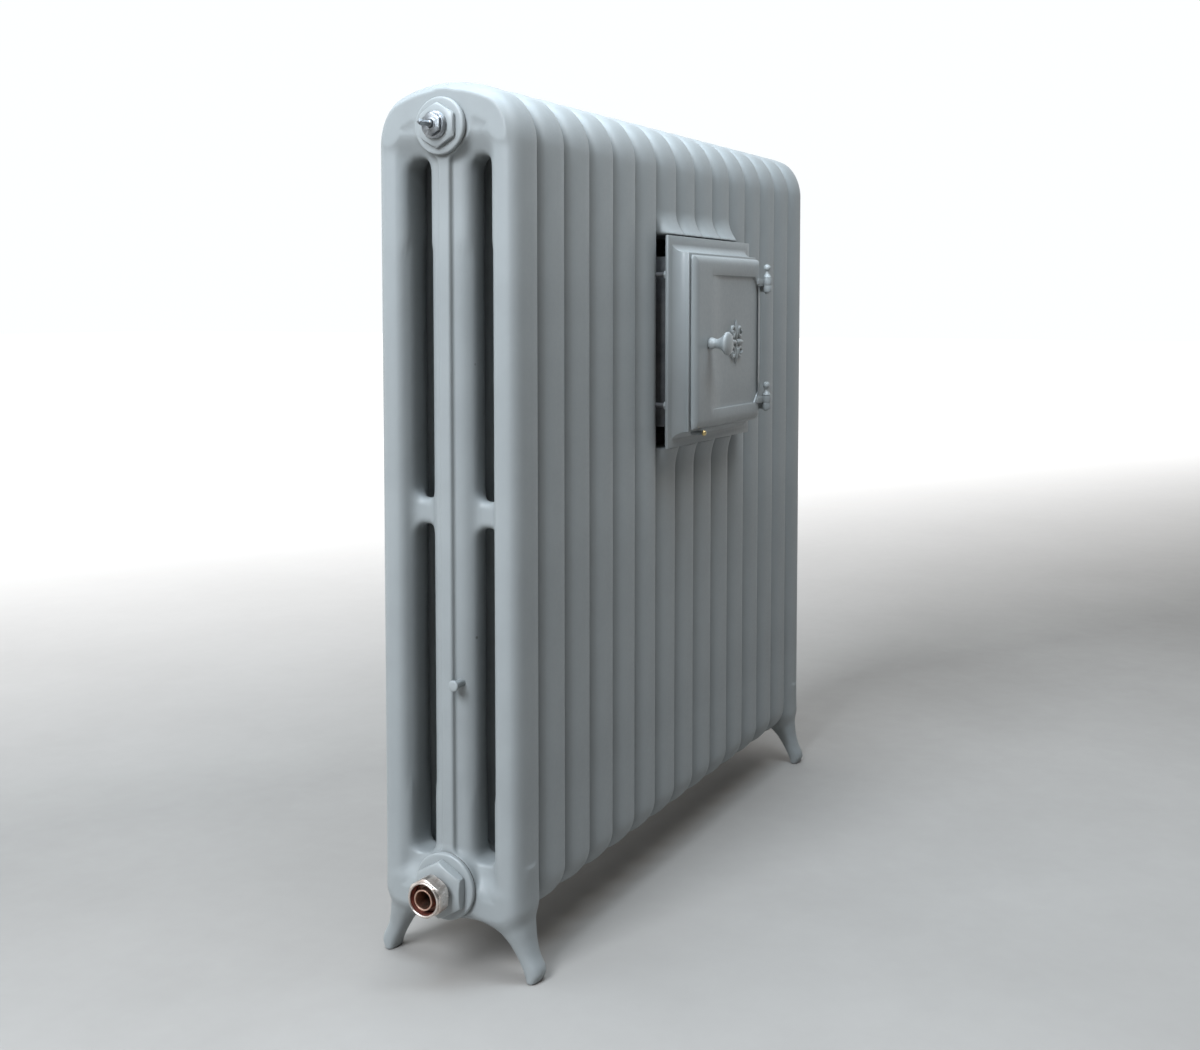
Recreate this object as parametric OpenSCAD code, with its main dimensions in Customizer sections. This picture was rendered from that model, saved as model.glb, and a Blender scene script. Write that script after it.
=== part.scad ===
// Cast-iron column radiator with a warming cupboard let into its front.
// Fifteen three-column sections are nippled together. The end sections stand on feet, the near end
// (towards -X) carries an air vent above and a union tail below, and the cupboard door faces -Y.
// Everything is drawn in block coordinates: X from the near end, Y from the front of the columns
// towards the back, Z up from the floor. in_frame() then moves it over the part's own origin.

/* [Block] */
// Distance from one section to the next
pitch = 60; // [56:1:64]
// Overall height to the top of the crown
total_h = 972; // [940:1:1000]
// Depth over the front and back columns
block_d = 178; // [172:1:184]
// Height of the centre line of the lower hubs
lower_hub_z = 100; // [98:1:104]
// Depth of the front and back columns
column_d = 35; // [34:1:40]
// Width of the front and back columns
column_w = 58; // [54:1:59]
// Wall thickness of the castings
wall = 4; // [3.5:0.5:5]

/* [Feet] */
// How far a toe stands out beyond the column face
toe_out = 15; // [10:1:18]
// Width of a foot across the radiator's length
foot_w = 28; // [24:1:36]

/* [Fittings] */
// Outside diameter of the union tail
tail_d = 23; // [22:0.5:24]
// Bore diameter of the union tail
tail_bore_d = 19; // [16:0.5:20]
// Outside diameter of the union nut
nut_d = 43; // [41:1:45]
// Diameter of the thread in every hub
hub_bore_d = 48; // [44:1:50]

/* [Cupboard] */
// Width of the casing flange
flange_w = 275; // [270:1:280]
// Height of the casing flange
flange_h = 267; // [262:1:272]
// Width of the door
door_w = 225; // [222:1:228]
// Height of the door
door_h = 220; // [216:1:224]
// Thickness of the door plate
door_t = 9; // [8:0.5:10]
// Length of the knob from the door face
knob_l = 29; // [26:1:32]

/* [Hidden] */

paint = "#9aa4aa";
paint_dark = "#858f95";
fibre = "#3b3735";
worn_brass = "#a89a84";
brass = "#b08d4a";
steel = "#8a8d90";

section_count = 15;
first_recessed = 7;
last_recessed = 10;
round_fn = 48;

// Running clearance of a shaft in its hole, and the gap left between other facing surfaces
fit_gap = 0.05;
face_gap = 0.3;

// Column layout, measured from the front of the block
front_y = column_d / 2;
middle_y = block_d / 2;
back_y = block_d - column_d / 2;
middle_w = 48;
middle_d = 54;
slot_w = middle_y - middle_d / 2 - column_d;
rib_r = 10;
rib_out = 29.5;
upper_hub_z = total_h - 49;
hub_r = 38;
web_t = 36;
mid_web_t = 20;

// Rounded corners of a section, and the arched crown between the upper two
top_r = 30;
bottom_r = 40;
crown_r = 150;
crown_z = total_h - crown_r;
crown_half = asin((middle_y - top_r) / (crown_r - top_r));
bend_z = crown_z + (crown_r - top_r) * cos(crown_half);
rail_z = lower_hub_z;

// Slots between the columns
slot_low = 123;
slot_mid_low = 492;
slot_mid_high = 521;
slot_high = 892;

// Rounded toe of a foot, and the flat sole behind its lowest point
toe_r = 11;
sole = 10;

// Hollow blocks at the two ends of a section, and the duct inside each
block_low = slot_low - 8;
block_high = slot_high + 8;
duct_w = column_w - 2 * wall - 2;
duct_inset = 26;
duct_h = 44;

// Cupboard, from the near end and the floor
flange_x = 342;
flange_z = 554;
flange_t = 4;
standoff = 14;
door_x = 364;
door_z = 577;
rim_margin = 3;
rim_x = door_x - rim_margin;
rim_z = door_z - rim_margin;
rim_w = door_w + 2 * rim_margin;
rim_h = door_h + 2 * rim_margin;
rim_y = -37.7;
rim_t = 3.7;
mouth_lap = 10;
mouth_x = door_x + mouth_lap;
mouth_z = door_z + mouth_lap;
mouth_w = door_w - 2 * mouth_lap;
mouth_h = door_h - 2 * mouth_lap;
cove_w = 12;
cove_d = 17;
liner_x = 366;
liner_z = 579;
liner_w = 221;
liner_h = 216;
liner_t = 2;
liner_back = 134;
recess_low = 552;
recess_high = 823;
shelf_t = 14;

door_back = rim_y - face_gap;
door_front = door_back - door_t;
panel_depth = 2;
knob_x = 406;
knob_z = door_z + 108;
spindle_r = 4;
latch_reach = 35.5;

hinge_x = 601.5;
hinge_y = -51;
hinge_r = 6.5;
pin_r = 3.4;
knuckle_h = 9.5;
upper_hinge_z = 752;
lower_hinge_z = 588;

// Near-end and far-end fittings, along X
gasket_t = 1.5;
bush_flange_t = 6;
plug_hex_t = 10;
nut_front = -48;
nut_l = 22;
far_end = section_count * pitch;

// The part's origin is on the floor, in the middle of its overall outline
knob_tip = door_front - face_gap - knob_l;
back_toe = block_d + toe_out;
far_tip = far_end + gasket_t + bush_flange_t + plug_hex_t;
origin_x = (nut_front + far_tip) / 2;
origin_y = (knob_tip + back_toe) / 2;

module in_frame() {
    translate([-origin_x, -origin_y, 0]) children();
}

// An oval a little fuller than an ellipse, as points
function oval(w, d, n = 24) = [
    for (i = [0 : n - 1])
        let (a = 360 * i / n, c = cos(a), s = sin(a))
            [w / 2 * sign(c) * pow(abs(c), 0.85), d / 2 * sign(s) * pow(abs(s), 0.85)]
];

// A point on a cubic curve
function cubic(a, b, c, d, t) =
    a * pow(1 - t, 3) + 3 * b * t * pow(1 - t, 2) + 3 * c * t * t * (1 - t) + d * pow(t, 3);
function cubic_points(a, b, c, d, n) = [for (i = [0 : n]) cubic(a, b, c, d, i / n)];

// A profile drawn in Y and Z, extruded along X about the middle of a section
module across(t) {
    translate([-t / 2, 0, 0]) rotate([90, 0, 90]) linear_extrude(t) children();
}

// A cylinder along X from x, of length l
module rod_x(x, l, r) {
    translate([x, 0, 0]) rotate([0, 90, 0]) cylinder(h = l, r = r, $fn = round_fn);
}

// A hexagonal prism along X, given across its flats
module hex_x(x, l, flats) {
    translate([x, 0, 0]) rotate([0, 90, 0]) cylinder(h = l, r = flats / 2 / cos(30), $fn = 6);
}

// A cylinder along -Y from y, of length l
module rod_y(y, l, r) {
    translate([0, y, 0]) rotate([90, 0, 0]) cylinder(h = l, r = r, $fn = round_fn);
}

module upright(y, w, d, low, high) {
    translate([0, y, low]) linear_extrude(high - low) polygon(oval(w, d));
}

module slot(y, low, high) {
    r = slot_w / 2;
    for (z = [low + r, high - r])
        translate([y, z]) circle(r, $fn = round_fn);
    translate([y - r, low + r]) square([slot_w, high - low - 2 * r]);
}

module all_slots() {
    for (y = [column_d + slot_w / 2, block_d - column_d - slot_w / 2]) {
        slot(y, slot_low, slot_mid_low);
        slot(y, slot_mid_high, slot_high);
    }
}

// Webs that join the columns above, below and halfway up
module webs() {
    reach = back_y - front_y;
    across(web_t) difference() {
        union() {
            translate([front_y, block_low]) square([reach, slot_low + slot_w - block_low]);
            translate([front_y, slot_high - slot_w]) square([reach, block_high - slot_high + slot_w]);
        }
        all_slots();
    }
    across(mid_web_t) difference() {
        translate([front_y, slot_mid_low - slot_w])
            square([reach, slot_mid_high - slot_mid_low + 2 * slot_w]);
        all_slots();
    }
}

// Points of an arc in Y and Z
function arc(y, z, r, from, to, n) =
    [for (i = [0 : n]) let (a = from + (to - from) * i / n) [y + r * cos(a), z + r * sin(a)]];

// Side view of a section without its feet
module side_view() {
    polygon(concat(
        arc(top_r, bend_z, top_r, 180, 90 + crown_half, 6),
        arc(middle_y, crown_z, crown_r, 90 + crown_half, 90 - crown_half, 12),
        arc(block_d - top_r, bend_z, top_r, 90 - crown_half, 0, 6),
        arc(block_d - bottom_r, rail_z, bottom_r, 0, -90, 8),
        arc(bottom_r, rail_z, bottom_r, -90, -180, 8)
    ));
}

// Plan of a section's top and bottom: the front and back ovals, joined by straight sides
module plan_view() {
    ring = oval(column_w, column_d);
    n = len(ring);
    polygon(concat(
        [for (i = [0 : n / 2]) [ring[i][0], ring[i][1] + back_y]],
        [for (i = [n / 2 : n]) [ring[i % n][0], ring[i % n][1] + front_y]]
    ));
}

// Hollow ends of a section, where its columns run together
module end_block(low, high) {
    intersection() {
        across(pitch) side_view();
        translate([0, 0, low]) linear_extrude(high - low) plan_view();
    }
}

module hubs(r) {
    for (z = [lower_hub_z, upper_hub_z])
        translate([0, middle_y, z]) rod_x(-pitch / 2, pitch, r);
}

// Waterways: three columns, a duct above and below, and the threaded hubs
module waterway(spans) {
    in_w = column_w - 2 * wall;
    in_d = column_d - 2 * wall;
    for (span = spans) {
        upright(front_y, in_w, in_d, span[0], span[1]);
        upright(middle_y, middle_w - 2 * wall, middle_d - 2 * wall, span[0], span[1]);
    }
    upright(back_y, in_w, in_d, rail_z, bend_z);
    for (z = [block_low - duct_h - wall, block_high + wall])
        translate([-duct_w / 2, duct_inset, z]) cube([duct_w, block_d - 2 * duct_inset, duct_h]);
    hubs(hub_bore_d / 2);
}

module rib_pair(span) {
    for (side = [-1, 1])
        translate([side * (rib_out - rib_r), middle_y, span[0]])
            cylinder(h = span[1] - span[0], r = rib_r, $fn = round_fn);
}

// Outside of a section whose front and middle columns fill the given spans
module section_body(spans) {
    for (span = spans) {
        upright(front_y, column_w, column_d, span[0], span[1]);
        upright(middle_y, middle_w, middle_d, span[0], span[1]);
        rib_pair(span);
    }
    upright(back_y, column_w, column_d, rail_z, bend_z);
    end_block(0, block_low);
    end_block(block_high, total_h);
    webs();
    hubs(hub_r);
}

whole = [[rail_z, bend_z]];

module plain_section() {
    difference() {
        section_body(whole);
        waterway(whole);
    }
}

// A flared leg with a rounded toe, drawn in Y and Z for the front of the block
module foot_outline() {
    toe_y = toe_r - toe_out;
    outer = cubic_points([3, 122], [3, 62], [2, 42], [-toe_out, toe_r + 4], 10);
    toe = arc(toe_y, toe_r, toe_r, 180, 270, 6);
    inner = cubic_points([toe_y + sole, 0], [14, 22], [26, 60], [62, 66], 10);
    polygon(concat(outer, toe, inner, [[62, 108], [24, 122]]));
}

module feet() {
    across(foot_w) foot_outline();
    translate([0, block_d, 0]) mirror([0, 1, 0]) across(foot_w) foot_outline();
}

module end_section() {
    difference() {
        union() {
            section_body(whole);
            feet();
        }
        waterway(whole);
    }
}

// Lip that carries the front of a short column out to the casing flange
module lip(z, up) {
    reach = standoff - face_gap;
    curve = cubic_points([3, up * 44], [3, up * 20], [-4, up * 8], [-reach, 0], 8);
    translate([0, 0, z]) across(column_w - 6)
        polygon(concat(curve, [[front_y, 0], [front_y, up * 44]]));
}

// A section whose front and middle columns stop below and above the cupboard
module recessed_section() {
    difference() {
        union() {
            section_body([[rail_z, recess_low], [recess_high, bend_z]]);
            for (z = [recess_low - shelf_t, recess_high])
                translate([-web_t / 2, front_y, z]) cube([web_t, back_y - front_y, shelf_t]);
            lip(recess_low, -1);
            lip(recess_high, 1);
        }
        waterway([
            [rail_z, recess_low - shelf_t + wall],
            [recess_high + shelf_t - wall, bend_z]
        ]);
    }
}

module section_at(i) {
    in_frame() translate([(i - 0.5) * pitch, 0, 0]) children();
}

// Tapped holes for the casing screws, cut in the section on each side of the cupboard
screw_r = 3;
screw_inset = 6;
screw_depth = 6;
screw_in_flange = 2.5;
screw_xs = [flange_x + screw_inset, flange_x + flange_w - screw_inset];
screw_zs = [flange_z + 54, flange_z + flange_h - 49];

module casing_screw_holes(i) {
    for (x = screw_xs, z = screw_zs)
        translate([x - (i - 0.5) * pitch, 0, z]) rod_y(screw_depth, screw_depth + 3, screw_r + fit_gap);
}

module screwed_section(i) {
    section_at(i) difference() {
        plain_section();
        casing_screw_holes(i);
    }
}

boss_y = 75;
boss_z = 324;
boss_r = 4.5;
boss_in = 12;

module near_section() {
    section_at(1) difference() {
        end_section();
        translate([0, boss_y, boss_z]) rod_x(-pitch / 2, boss_in, boss_r + fit_gap);
    }
}

module section(i) {
    color(paint) {
        if (i == 1) near_section();
        else if (i == section_count) section_at(i) end_section();
        else if (i == first_recessed - 1 || i == last_recessed + 1) screwed_section(i);
        else if (i >= first_recessed && i <= last_recessed) section_at(i) recessed_section();
        else section_at(i) plain_section();
    }
}

// Short threaded tubes that join neighbouring hubs
module nipples(z) {
    half = 16;
    color(steel) in_frame() for (i = [1 : section_count - 1])
        translate([i * pitch, middle_y, z]) difference() {
            rod_x(-half, 2 * half, hub_bore_d / 2 - fit_gap);
            rod_x(-half - 1, 2 * half + 2, hub_bore_d / 2 - 5);
        }
}

module at_upper_hub() {
    in_frame() translate([0, middle_y, upper_hub_z]) children();
}

module at_lower_hub() {
    in_frame() translate([0, middle_y, lower_hub_z]) children();
}

module ring_x(x, l, outer, inner) {
    difference() {
        rod_x(x, l, outer);
        rod_x(x - 1, l + 2, inner);
    }
}

vent_flange_r = 30.5;
vent_hex = 42;
vent_body_r = 14.5;
vent_shank_r = 8;
vent_front = -24;
vent_spindle_r = 3.75;
vent_tip = -44;
thread_in = 18;

module vent_bush() {
    color(paint) at_upper_hub() difference() {
        union() {
            rod_x(-gasket_t - 0.001, thread_in, hub_bore_d / 2 - fit_gap);
            rod_x(-gasket_t - bush_flange_t, bush_flange_t, vent_flange_r);
            hex_x(-gasket_t - bush_flange_t - 6, 6.001, vent_hex);
        }
        rod_x(-30, 60, vent_shank_r + fit_gap);
    }
}

module vent_gasket() {
    color(fibre) at_upper_hub() ring_x(-gasket_t, gasket_t, vent_flange_r - 1, hub_bore_d / 2);
}

module vent_body() {
    seat = -gasket_t - bush_flange_t - 6;
    color(paint_dark) at_upper_hub() difference() {
        union() {
            rod_x(seat - 6, 6, vent_body_r);
            hex_x(vent_front, seat - 6 - vent_front + 0.001, 22);
            rod_x(seat - 0.001, 14, vent_shank_r);
        }
        rod_x(vent_front - 1, 12, vent_spindle_r + fit_gap);
        rod_x(vent_front, 40, 2.5);
    }
}

module vent_spindle() {
    color(paint_dark) at_upper_hub() {
        rod_x(vent_tip + 7, vent_front + 10 - vent_tip - 7, vent_spindle_r);
        translate([vent_tip, -2.6, -2.6]) cube([7.001, 5.2, 5.2]);
        rod_x(vent_front + 9.9, 6, 2.2);
    }
}

inlet_flange_r = 37;
inlet_hex = 55;
inlet_hex_t = 13;
collar_r = 15.5;
nut_thread_r = 16.5;
nut_back_t = 6;

module inlet_bush() {
    color(paint) at_lower_hub() difference() {
        union() {
            rod_x(-gasket_t - 0.001, thread_in, hub_bore_d / 2 - fit_gap);
            rod_x(-gasket_t - bush_flange_t, bush_flange_t, inlet_flange_r);
            hex_x(-gasket_t - bush_flange_t - inlet_hex_t, inlet_hex_t + 0.001, inlet_hex);
        }
        rod_x(-30, 60, tail_d / 2 + fit_gap);
    }
}

module inlet_gasket() {
    color(fibre) at_lower_hub() ring_x(-gasket_t, gasket_t, inlet_flange_r - 1, hub_bore_d / 2);
}

module inlet_tail() {
    collar_back = nut_front + nut_l - nut_back_t - face_gap;
    color(worn_brass) at_lower_hub() difference() {
        union() {
            rod_x(nut_front + 0.5, thread_in - nut_front, tail_d / 2);
            rod_x(collar_back - 4, 4, collar_r);
        }
        rod_x(nut_front - 1, 100, tail_bore_d / 2);
    }
}

module union_nut() {
    color(worn_brass) at_lower_hub() difference() {
        union() {
            rod_x(nut_front, nut_l, nut_d / 2 - 1.5);
            intersection() {
                hex_x(nut_front + 2, nut_l - 4, nut_d - 4);
                rod_x(nut_front, nut_l, nut_d / 2);
            }
        }
        rod_x(nut_front - 1, nut_l - nut_back_t + 1, nut_thread_r);
        rod_x(nut_front, nut_l + 1, tail_d / 2 + fit_gap);
    }
}

module blank_plug() {
    translate([far_end, 0, 0]) {
        rod_x(gasket_t - thread_in, thread_in + 0.001, hub_bore_d / 2 - fit_gap);
        rod_x(gasket_t, bush_flange_t, vent_flange_r);
        hex_x(gasket_t + bush_flange_t - 0.001, plug_hex_t + 0.001, vent_hex);
    }
}

module far_upper_plug() {
    color(paint) at_upper_hub() blank_plug();
}

module far_lower_plug() {
    color(paint) at_lower_hub() blank_plug();
}

module far_gaskets() {
    color(fibre) {
        at_upper_hub() ring_x(far_end, gasket_t, vent_flange_r - 1, hub_bore_d / 2);
        at_lower_hub() ring_x(far_end, gasket_t, vent_flange_r - 1, hub_bore_d / 2);
    }
}

// Small screwed plug low on the near end's middle column
module boss_plug() {
    color(paint) in_frame() translate([0, boss_y, boss_z]) {
        rod_x(-5, boss_in + 5, boss_r);
        rod_x(-9, 4.001, boss_r + 1.2);
    }
}

// Outline of the cove moulding against depth, for one pair of sides.
// It runs from the flange's back edge, in over the cove and across the rim.
function cove_outline(flange_low, flange_high, rim_low, rim_high) =
    let (
        top = -standoff - flange_t,
        side = [for (t = [0 : 15 : 90]) [cove_w * (1 - sin(t)), top - cove_d * (1 - cos(t))]]
    )
    concat(
        [[flange_high, -standoff], [flange_high, top]],
        [for (p = side) [rim_high + p[0], p[1]]],
        [[rim_high, rim_y], [rim_low, rim_y]],
        [for (i = [len(side) - 1 : -1 : 0]) [rim_low - side[i][0], side[i][1]]],
        [[flange_low, top], [flange_low, -standoff]]
    );

// Ears that stand on the flange and hold the hinge pins
module casing_ear(z) {
    difference() {
        union() {
            translate([hinge_x, hinge_y, z]) cylinder(h = knuckle_h, r = hinge_r, $fn = round_fn);
            translate([hinge_x - 4, hinge_y, z])
                cube([8, -standoff - flange_t - hinge_y + 1, knuckle_h]);
        }
        translate([hinge_x, hinge_y, z - 1])
            cylinder(h = knuckle_h + 2, r = pin_r + fit_gap, $fn = round_fn);
    }
}

stud_x = 397;
stud_z = door_z - 6.5;
stud_r = 3;

module casing_frame() {
    flange_right = flange_x + flange_w;
    flange_top = flange_z + flange_h;
    color(paint) in_frame() {
        difference() {
            intersection() {
                translate([0, 0, flange_z]) linear_extrude(flange_h)
                    polygon(cove_outline(flange_x, flange_right, rim_x, rim_x + rim_w));
                translate([flange_x, 0, 0]) rotate([90, 0, 90])
                    linear_extrude(flange_w)
                        polygon([for (p = cove_outline(flange_z, flange_top, rim_z, rim_z + rim_h))
                            [p[1], p[0]]]);
            }
            translate([mouth_x, rim_y - 1, mouth_z]) cube([mouth_w, 40, mouth_h]);
            translate([liner_x - 1, rim_y + rim_t, liner_z - 1])
                cube([liner_w + 2, 40, liner_h + 2]);
            for (x = screw_xs, z = screw_zs)
                translate([x, 0, z]) rod_y(0, standoff + screw_in_flange, screw_r + fit_gap);
            translate([stud_x, 0, stud_z]) rod_y(-26, 20, stud_r + fit_gap);
        }
        casing_ear(upper_hinge_z);
        casing_ear(lower_hinge_z);
    }
}

// Sheet box behind the mouth, open at the front
module oven_liner() {
    front = rim_y + rim_t;
    color(steel) in_frame() difference() {
        translate([liner_x, front, liner_z]) cube([liner_w, liner_back - front, liner_h]);
        translate([liner_x + liner_t, front - 1, liner_z + liner_t])
            cube([liner_w - 2 * liner_t, liner_back - liner_t - front + 1, liner_h - 2 * liner_t]);
    }
}

// Studs that hold the flange off the columns, each with a nut behind the flange
module casing_screws() {
    color(paint_dark) in_frame() for (x = screw_xs, z = screw_zs) translate([x, 0, z]) {
        rod_y(screw_depth - 0.2, screw_depth + standoff + screw_in_flange - 0.3, screw_r);
        rod_y(-standoff + 3, 2.9, screw_r + 1.8);
    }
}

module door_rest_stud() {
    color(brass) in_frame() translate([stud_x, 0, stud_z]) {
        rod_y(-26.2, 17, stud_r);
        rod_y(-43, 4, stud_r + 0.8);
    }
}

// Door outline against depth, with a rounded front edge
function door_outline(low, high) =
    let (r = 5, n = 5)
    concat(
        [[low, door_back], [low, door_front + r]],
        [for (i = [1 : n]) [low + r * (1 - cos(90 * i / n)), door_front + r * (1 - sin(90 * i / n))]],
        [for (i = [n : -1 : 1])
            [high - r * (1 - cos(90 * i / n)), door_front + r * (1 - sin(90 * i / n))]],
        [[high, door_front + r], [high, door_back]]
    );

module door_knuckle(z) {
    difference() {
        union() {
            translate([hinge_x, hinge_y, z]) cylinder(h = knuckle_h, r = hinge_r, $fn = round_fn);
            translate([door_x + door_w - 16, hinge_y + 2, z])
                cube([hinge_x - door_x - door_w + 16, 6, knuckle_h]);
        }
        translate([hinge_x, hinge_y, z - 1])
            cylinder(h = knuckle_h + 2, r = pin_r + fit_gap, $fn = round_fn);
    }
}

panel_margin = 5;
panel_left = 428;
panel_corner = 17;

module door() {
    low = [door_x + door_w - panel_margin, door_z + 23];
    high = door_z + door_h - 25;
    color(paint) in_frame() {
        difference() {
            intersection() {
                translate([0, 0, door_z]) linear_extrude(door_h)
                    polygon(door_outline(door_x, door_x + door_w));
                translate([door_x, 0, 0]) rotate([90, 0, 90]) linear_extrude(door_w)
                    polygon([for (p = door_outline(door_z, door_z + door_h)) [p[1], p[0]]]);
            }
            translate([0, door_front + panel_depth, 0]) rotate([90, 0, 0])
                linear_extrude(panel_depth + 1) polygon([
                    [panel_left, low[1]], [low[0] - panel_corner, low[1]],
                    [low[0], low[1] + panel_corner], [low[0], high - panel_corner],
                    [low[0] - panel_corner, high], [panel_left, high]
                ]);
            translate([knob_x, 0, knob_z]) rod_y(-20, 40, spindle_r + fit_gap);
        }
        door_knuckle(upper_hinge_z + knuckle_h + face_gap);
        door_knuckle(lower_hinge_z + knuckle_h + face_gap);
    }
}

// Cast scroll ornament: two pairs of scrolls about a stem, with a bud above and below
module door_ornament() {
    t = 3.5;
    color(paint) in_frame()
        translate([500, door_front + panel_depth - t, knob_z]) rotate([-90, 0, 0])
            linear_extrude(t - 0.05) {
                for (side = [-1, 1], up = [-1, 1]) translate([side * 15, up * 15]) difference() {
                    circle(11, $fn = round_fn);
                    circle(5, $fn = round_fn);
                }
                for (side = [-1, 1]) translate([side * 20, 0]) circle(7, $fn = round_fn);
                for (up = [-1, 1]) translate([0, up * 25]) circle(7, $fn = round_fn);
                translate([-5, -25]) square([10, 50]);
                translate([-20, -4]) square([40, 8]);
            }
}

module hinge_pin(z) {
    top = z + 2 * knuckle_h + face_gap;
    color(paint) in_frame() translate([hinge_x, hinge_y, 0]) {
        translate([0, 0, z - 2]) cylinder(h = top - z + 2.5, r = pin_r, $fn = round_fn);
        translate([0, 0, top + face_gap]) cylinder(h = 8, r1 = 6, r2 = 2.5, $fn = round_fn);
        translate([0, 0, top + face_gap + 7]) cylinder(h = 4, r = 2.5, $fn = round_fn);
        translate([0, 0, top + face_gap + 14.5]) sphere(r = 5, $fn = round_fn);
    }
}

module hinge_pin_upper() {
    hinge_pin(upper_hinge_z);
}

module hinge_pin_lower() {
    hinge_pin(lower_hinge_z);
}

// Everything on the latch turns about the knob's own axis
module at_knob() {
    in_frame() translate([knob_x, 0, knob_z]) children();
}

// Trumpet-shaped knob, turned about its axis, on a spindle hole
module knob() {
    base = door_front - face_gap;
    neck = cubic_points([7.5, 5], [6, 14], [7, knob_l - 8], [15, knob_l - 5], 8);
    color(paint) at_knob() difference() {
        translate([0, base, 0]) rotate([90, 0, 0]) rotate_extrude($fn = round_fn)
            polygon(concat([[0, 0], [9, 0], [9, 3], [7.5, 5]], neck,
                [[15, knob_l - 3], [13, knob_l - 0.8], [0, knob_l]]));
        rod_y(base + 1, 13, spindle_r + fit_gap);
    }
}

latch_y = rim_y + rim_t + 0.6;
latch_t = 4;

module latch_spindle() {
    color(steel) at_knob()
        rod_y(latch_y + latch_t + 9, latch_y + latch_t + 9 - door_front + face_gap + 11.5, spindle_r);
}

// Bar behind the mouth's rim. It stands upright at rest, clear of the rim.
module latch_bar() {
    color(steel) at_knob() difference() {
        union() {
            rod_y(latch_y + latch_t, latch_t, 8);
            translate([-5, latch_y, 0]) cube([10, latch_t, latch_reach]);
        }
        rod_y(latch_y + latch_t + 1, latch_t + 2, spindle_r + fit_gap);
    }
}

module latch_nut() {
    color(steel) at_knob() difference() {
        translate([0, latch_y + latch_t + 5, 0]) rotate([90, 0, 0])
            cylinder(h = 5, r = 7.5, $fn = 6);
        rod_y(latch_y + latch_t + 6, 8, spindle_r + fit_gap);
    }
}

section(1);  // section_01
section(2);  // section_02
section(3);  // section_03
section(4);  // section_04
section(5);  // section_05
section(6);  // section_06
section(7);  // section_07
section(8);  // section_08
section(9);  // section_09
section(10);  // section_10
section(11);  // section_11
section(12);  // section_12
section(13);  // section_13
section(14);  // section_14
section(15);  // section_15
nipples(upper_hub_z);  // nipples_upper
nipples(lower_hub_z);  // nipples_lower
vent_bush();
vent_gasket();
vent_body();
vent_spindle();
inlet_bush();
inlet_gasket();
inlet_tail();
union_nut();
far_upper_plug();
far_lower_plug();
far_gaskets();
boss_plug();
casing_frame();
oven_liner();
casing_screws();
door_rest_stud();
door();
door_ornament();
hinge_pin_upper();
hinge_pin_lower();
knob();
latch_spindle();
latch_bar();
latch_nut();
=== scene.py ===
"""Cast-iron column radiator with a warming cupboard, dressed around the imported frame.

Lengths inside the builders are millimetres in block coordinates: X from the near end of the block,
Y from the front of its columns towards the back, Z up from the floor. place() turns them into
metres in the frame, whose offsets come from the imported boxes.
"""

import math

import bmesh
import bpy
import numpy as np
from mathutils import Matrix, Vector


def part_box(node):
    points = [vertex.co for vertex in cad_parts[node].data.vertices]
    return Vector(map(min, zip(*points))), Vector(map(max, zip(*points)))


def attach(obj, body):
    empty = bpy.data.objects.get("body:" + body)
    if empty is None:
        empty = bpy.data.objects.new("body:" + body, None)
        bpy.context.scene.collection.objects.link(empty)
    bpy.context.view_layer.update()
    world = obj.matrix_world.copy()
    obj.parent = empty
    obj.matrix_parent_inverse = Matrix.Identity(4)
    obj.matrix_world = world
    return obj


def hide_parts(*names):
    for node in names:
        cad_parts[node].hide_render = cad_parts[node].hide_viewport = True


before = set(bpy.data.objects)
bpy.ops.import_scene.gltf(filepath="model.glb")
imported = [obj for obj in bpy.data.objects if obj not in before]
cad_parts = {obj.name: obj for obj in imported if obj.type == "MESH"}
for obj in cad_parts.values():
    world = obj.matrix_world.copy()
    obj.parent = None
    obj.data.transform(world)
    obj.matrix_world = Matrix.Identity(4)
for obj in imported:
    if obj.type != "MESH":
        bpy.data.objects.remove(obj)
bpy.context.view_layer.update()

MM = 0.001

# Where the block stands in the frame: near end, front of the plain columns, floor
block_origin = np.array([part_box("section_01")[0][0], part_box("section_02")[0][1], 0.0])


def place(points):
    """Block millimetres to frame metres."""
    return np.asarray(points, float) * MM + block_origin


def block_box(node):
    """Low and high corner of a node, in block millimetres."""
    low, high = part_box(node)
    return (np.array(low) - block_origin) / MM, (np.array(high) - block_origin) / MM


# ---------------------------------------------------------------- driving sizes

# The block of sections
SECTIONS = 15
RECESSED = range(7, 11)
PITCH = 60.0
DEPTH = 178.0
MIDDLE_Y = DEPTH / 2
HEIGHT = block_box("section_01")[1][2]
LOW_HUB, HIGH_HUB = 100.0, HEIGHT - 49.0

# The recess behind the cupboard, the lips above and below it, and the casing's distance from the columns
RECESS_LOW, RECESS_HIGH = 552.0, 823.0
RECESS_MIDDLE = (RECESS_LOW + RECESS_HIGH) / 2
RECESS_Y, RECESS_HALF_D = 60.0, 79.2
LIP_H = 32.0
STANDOFF = 14.0

# One section: half an outer column, half the middle column and its ribs, and the outline in side view
TUBE_HALF_W, TUBE_HALF_D, TUBE_POWER = 29.0, 17.5, 2.8
MIDDLE_HALF_W, MIDDLE_HALF_D, MIDDLE_POWER = 24.0, 27.0, 2.4
RIB_X, RIB_HALF_W, RIB_HALF_D, RIB_EDGE_R = 19.5, 10.0, 7.5, 2.5
CROWN_R, CROWN_EDGE_R, LOWEST = 150.0, 30.0, 60.0
LOW_CORNER_R, FOOT_CORNER_R = 40.0, 24.0

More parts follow.
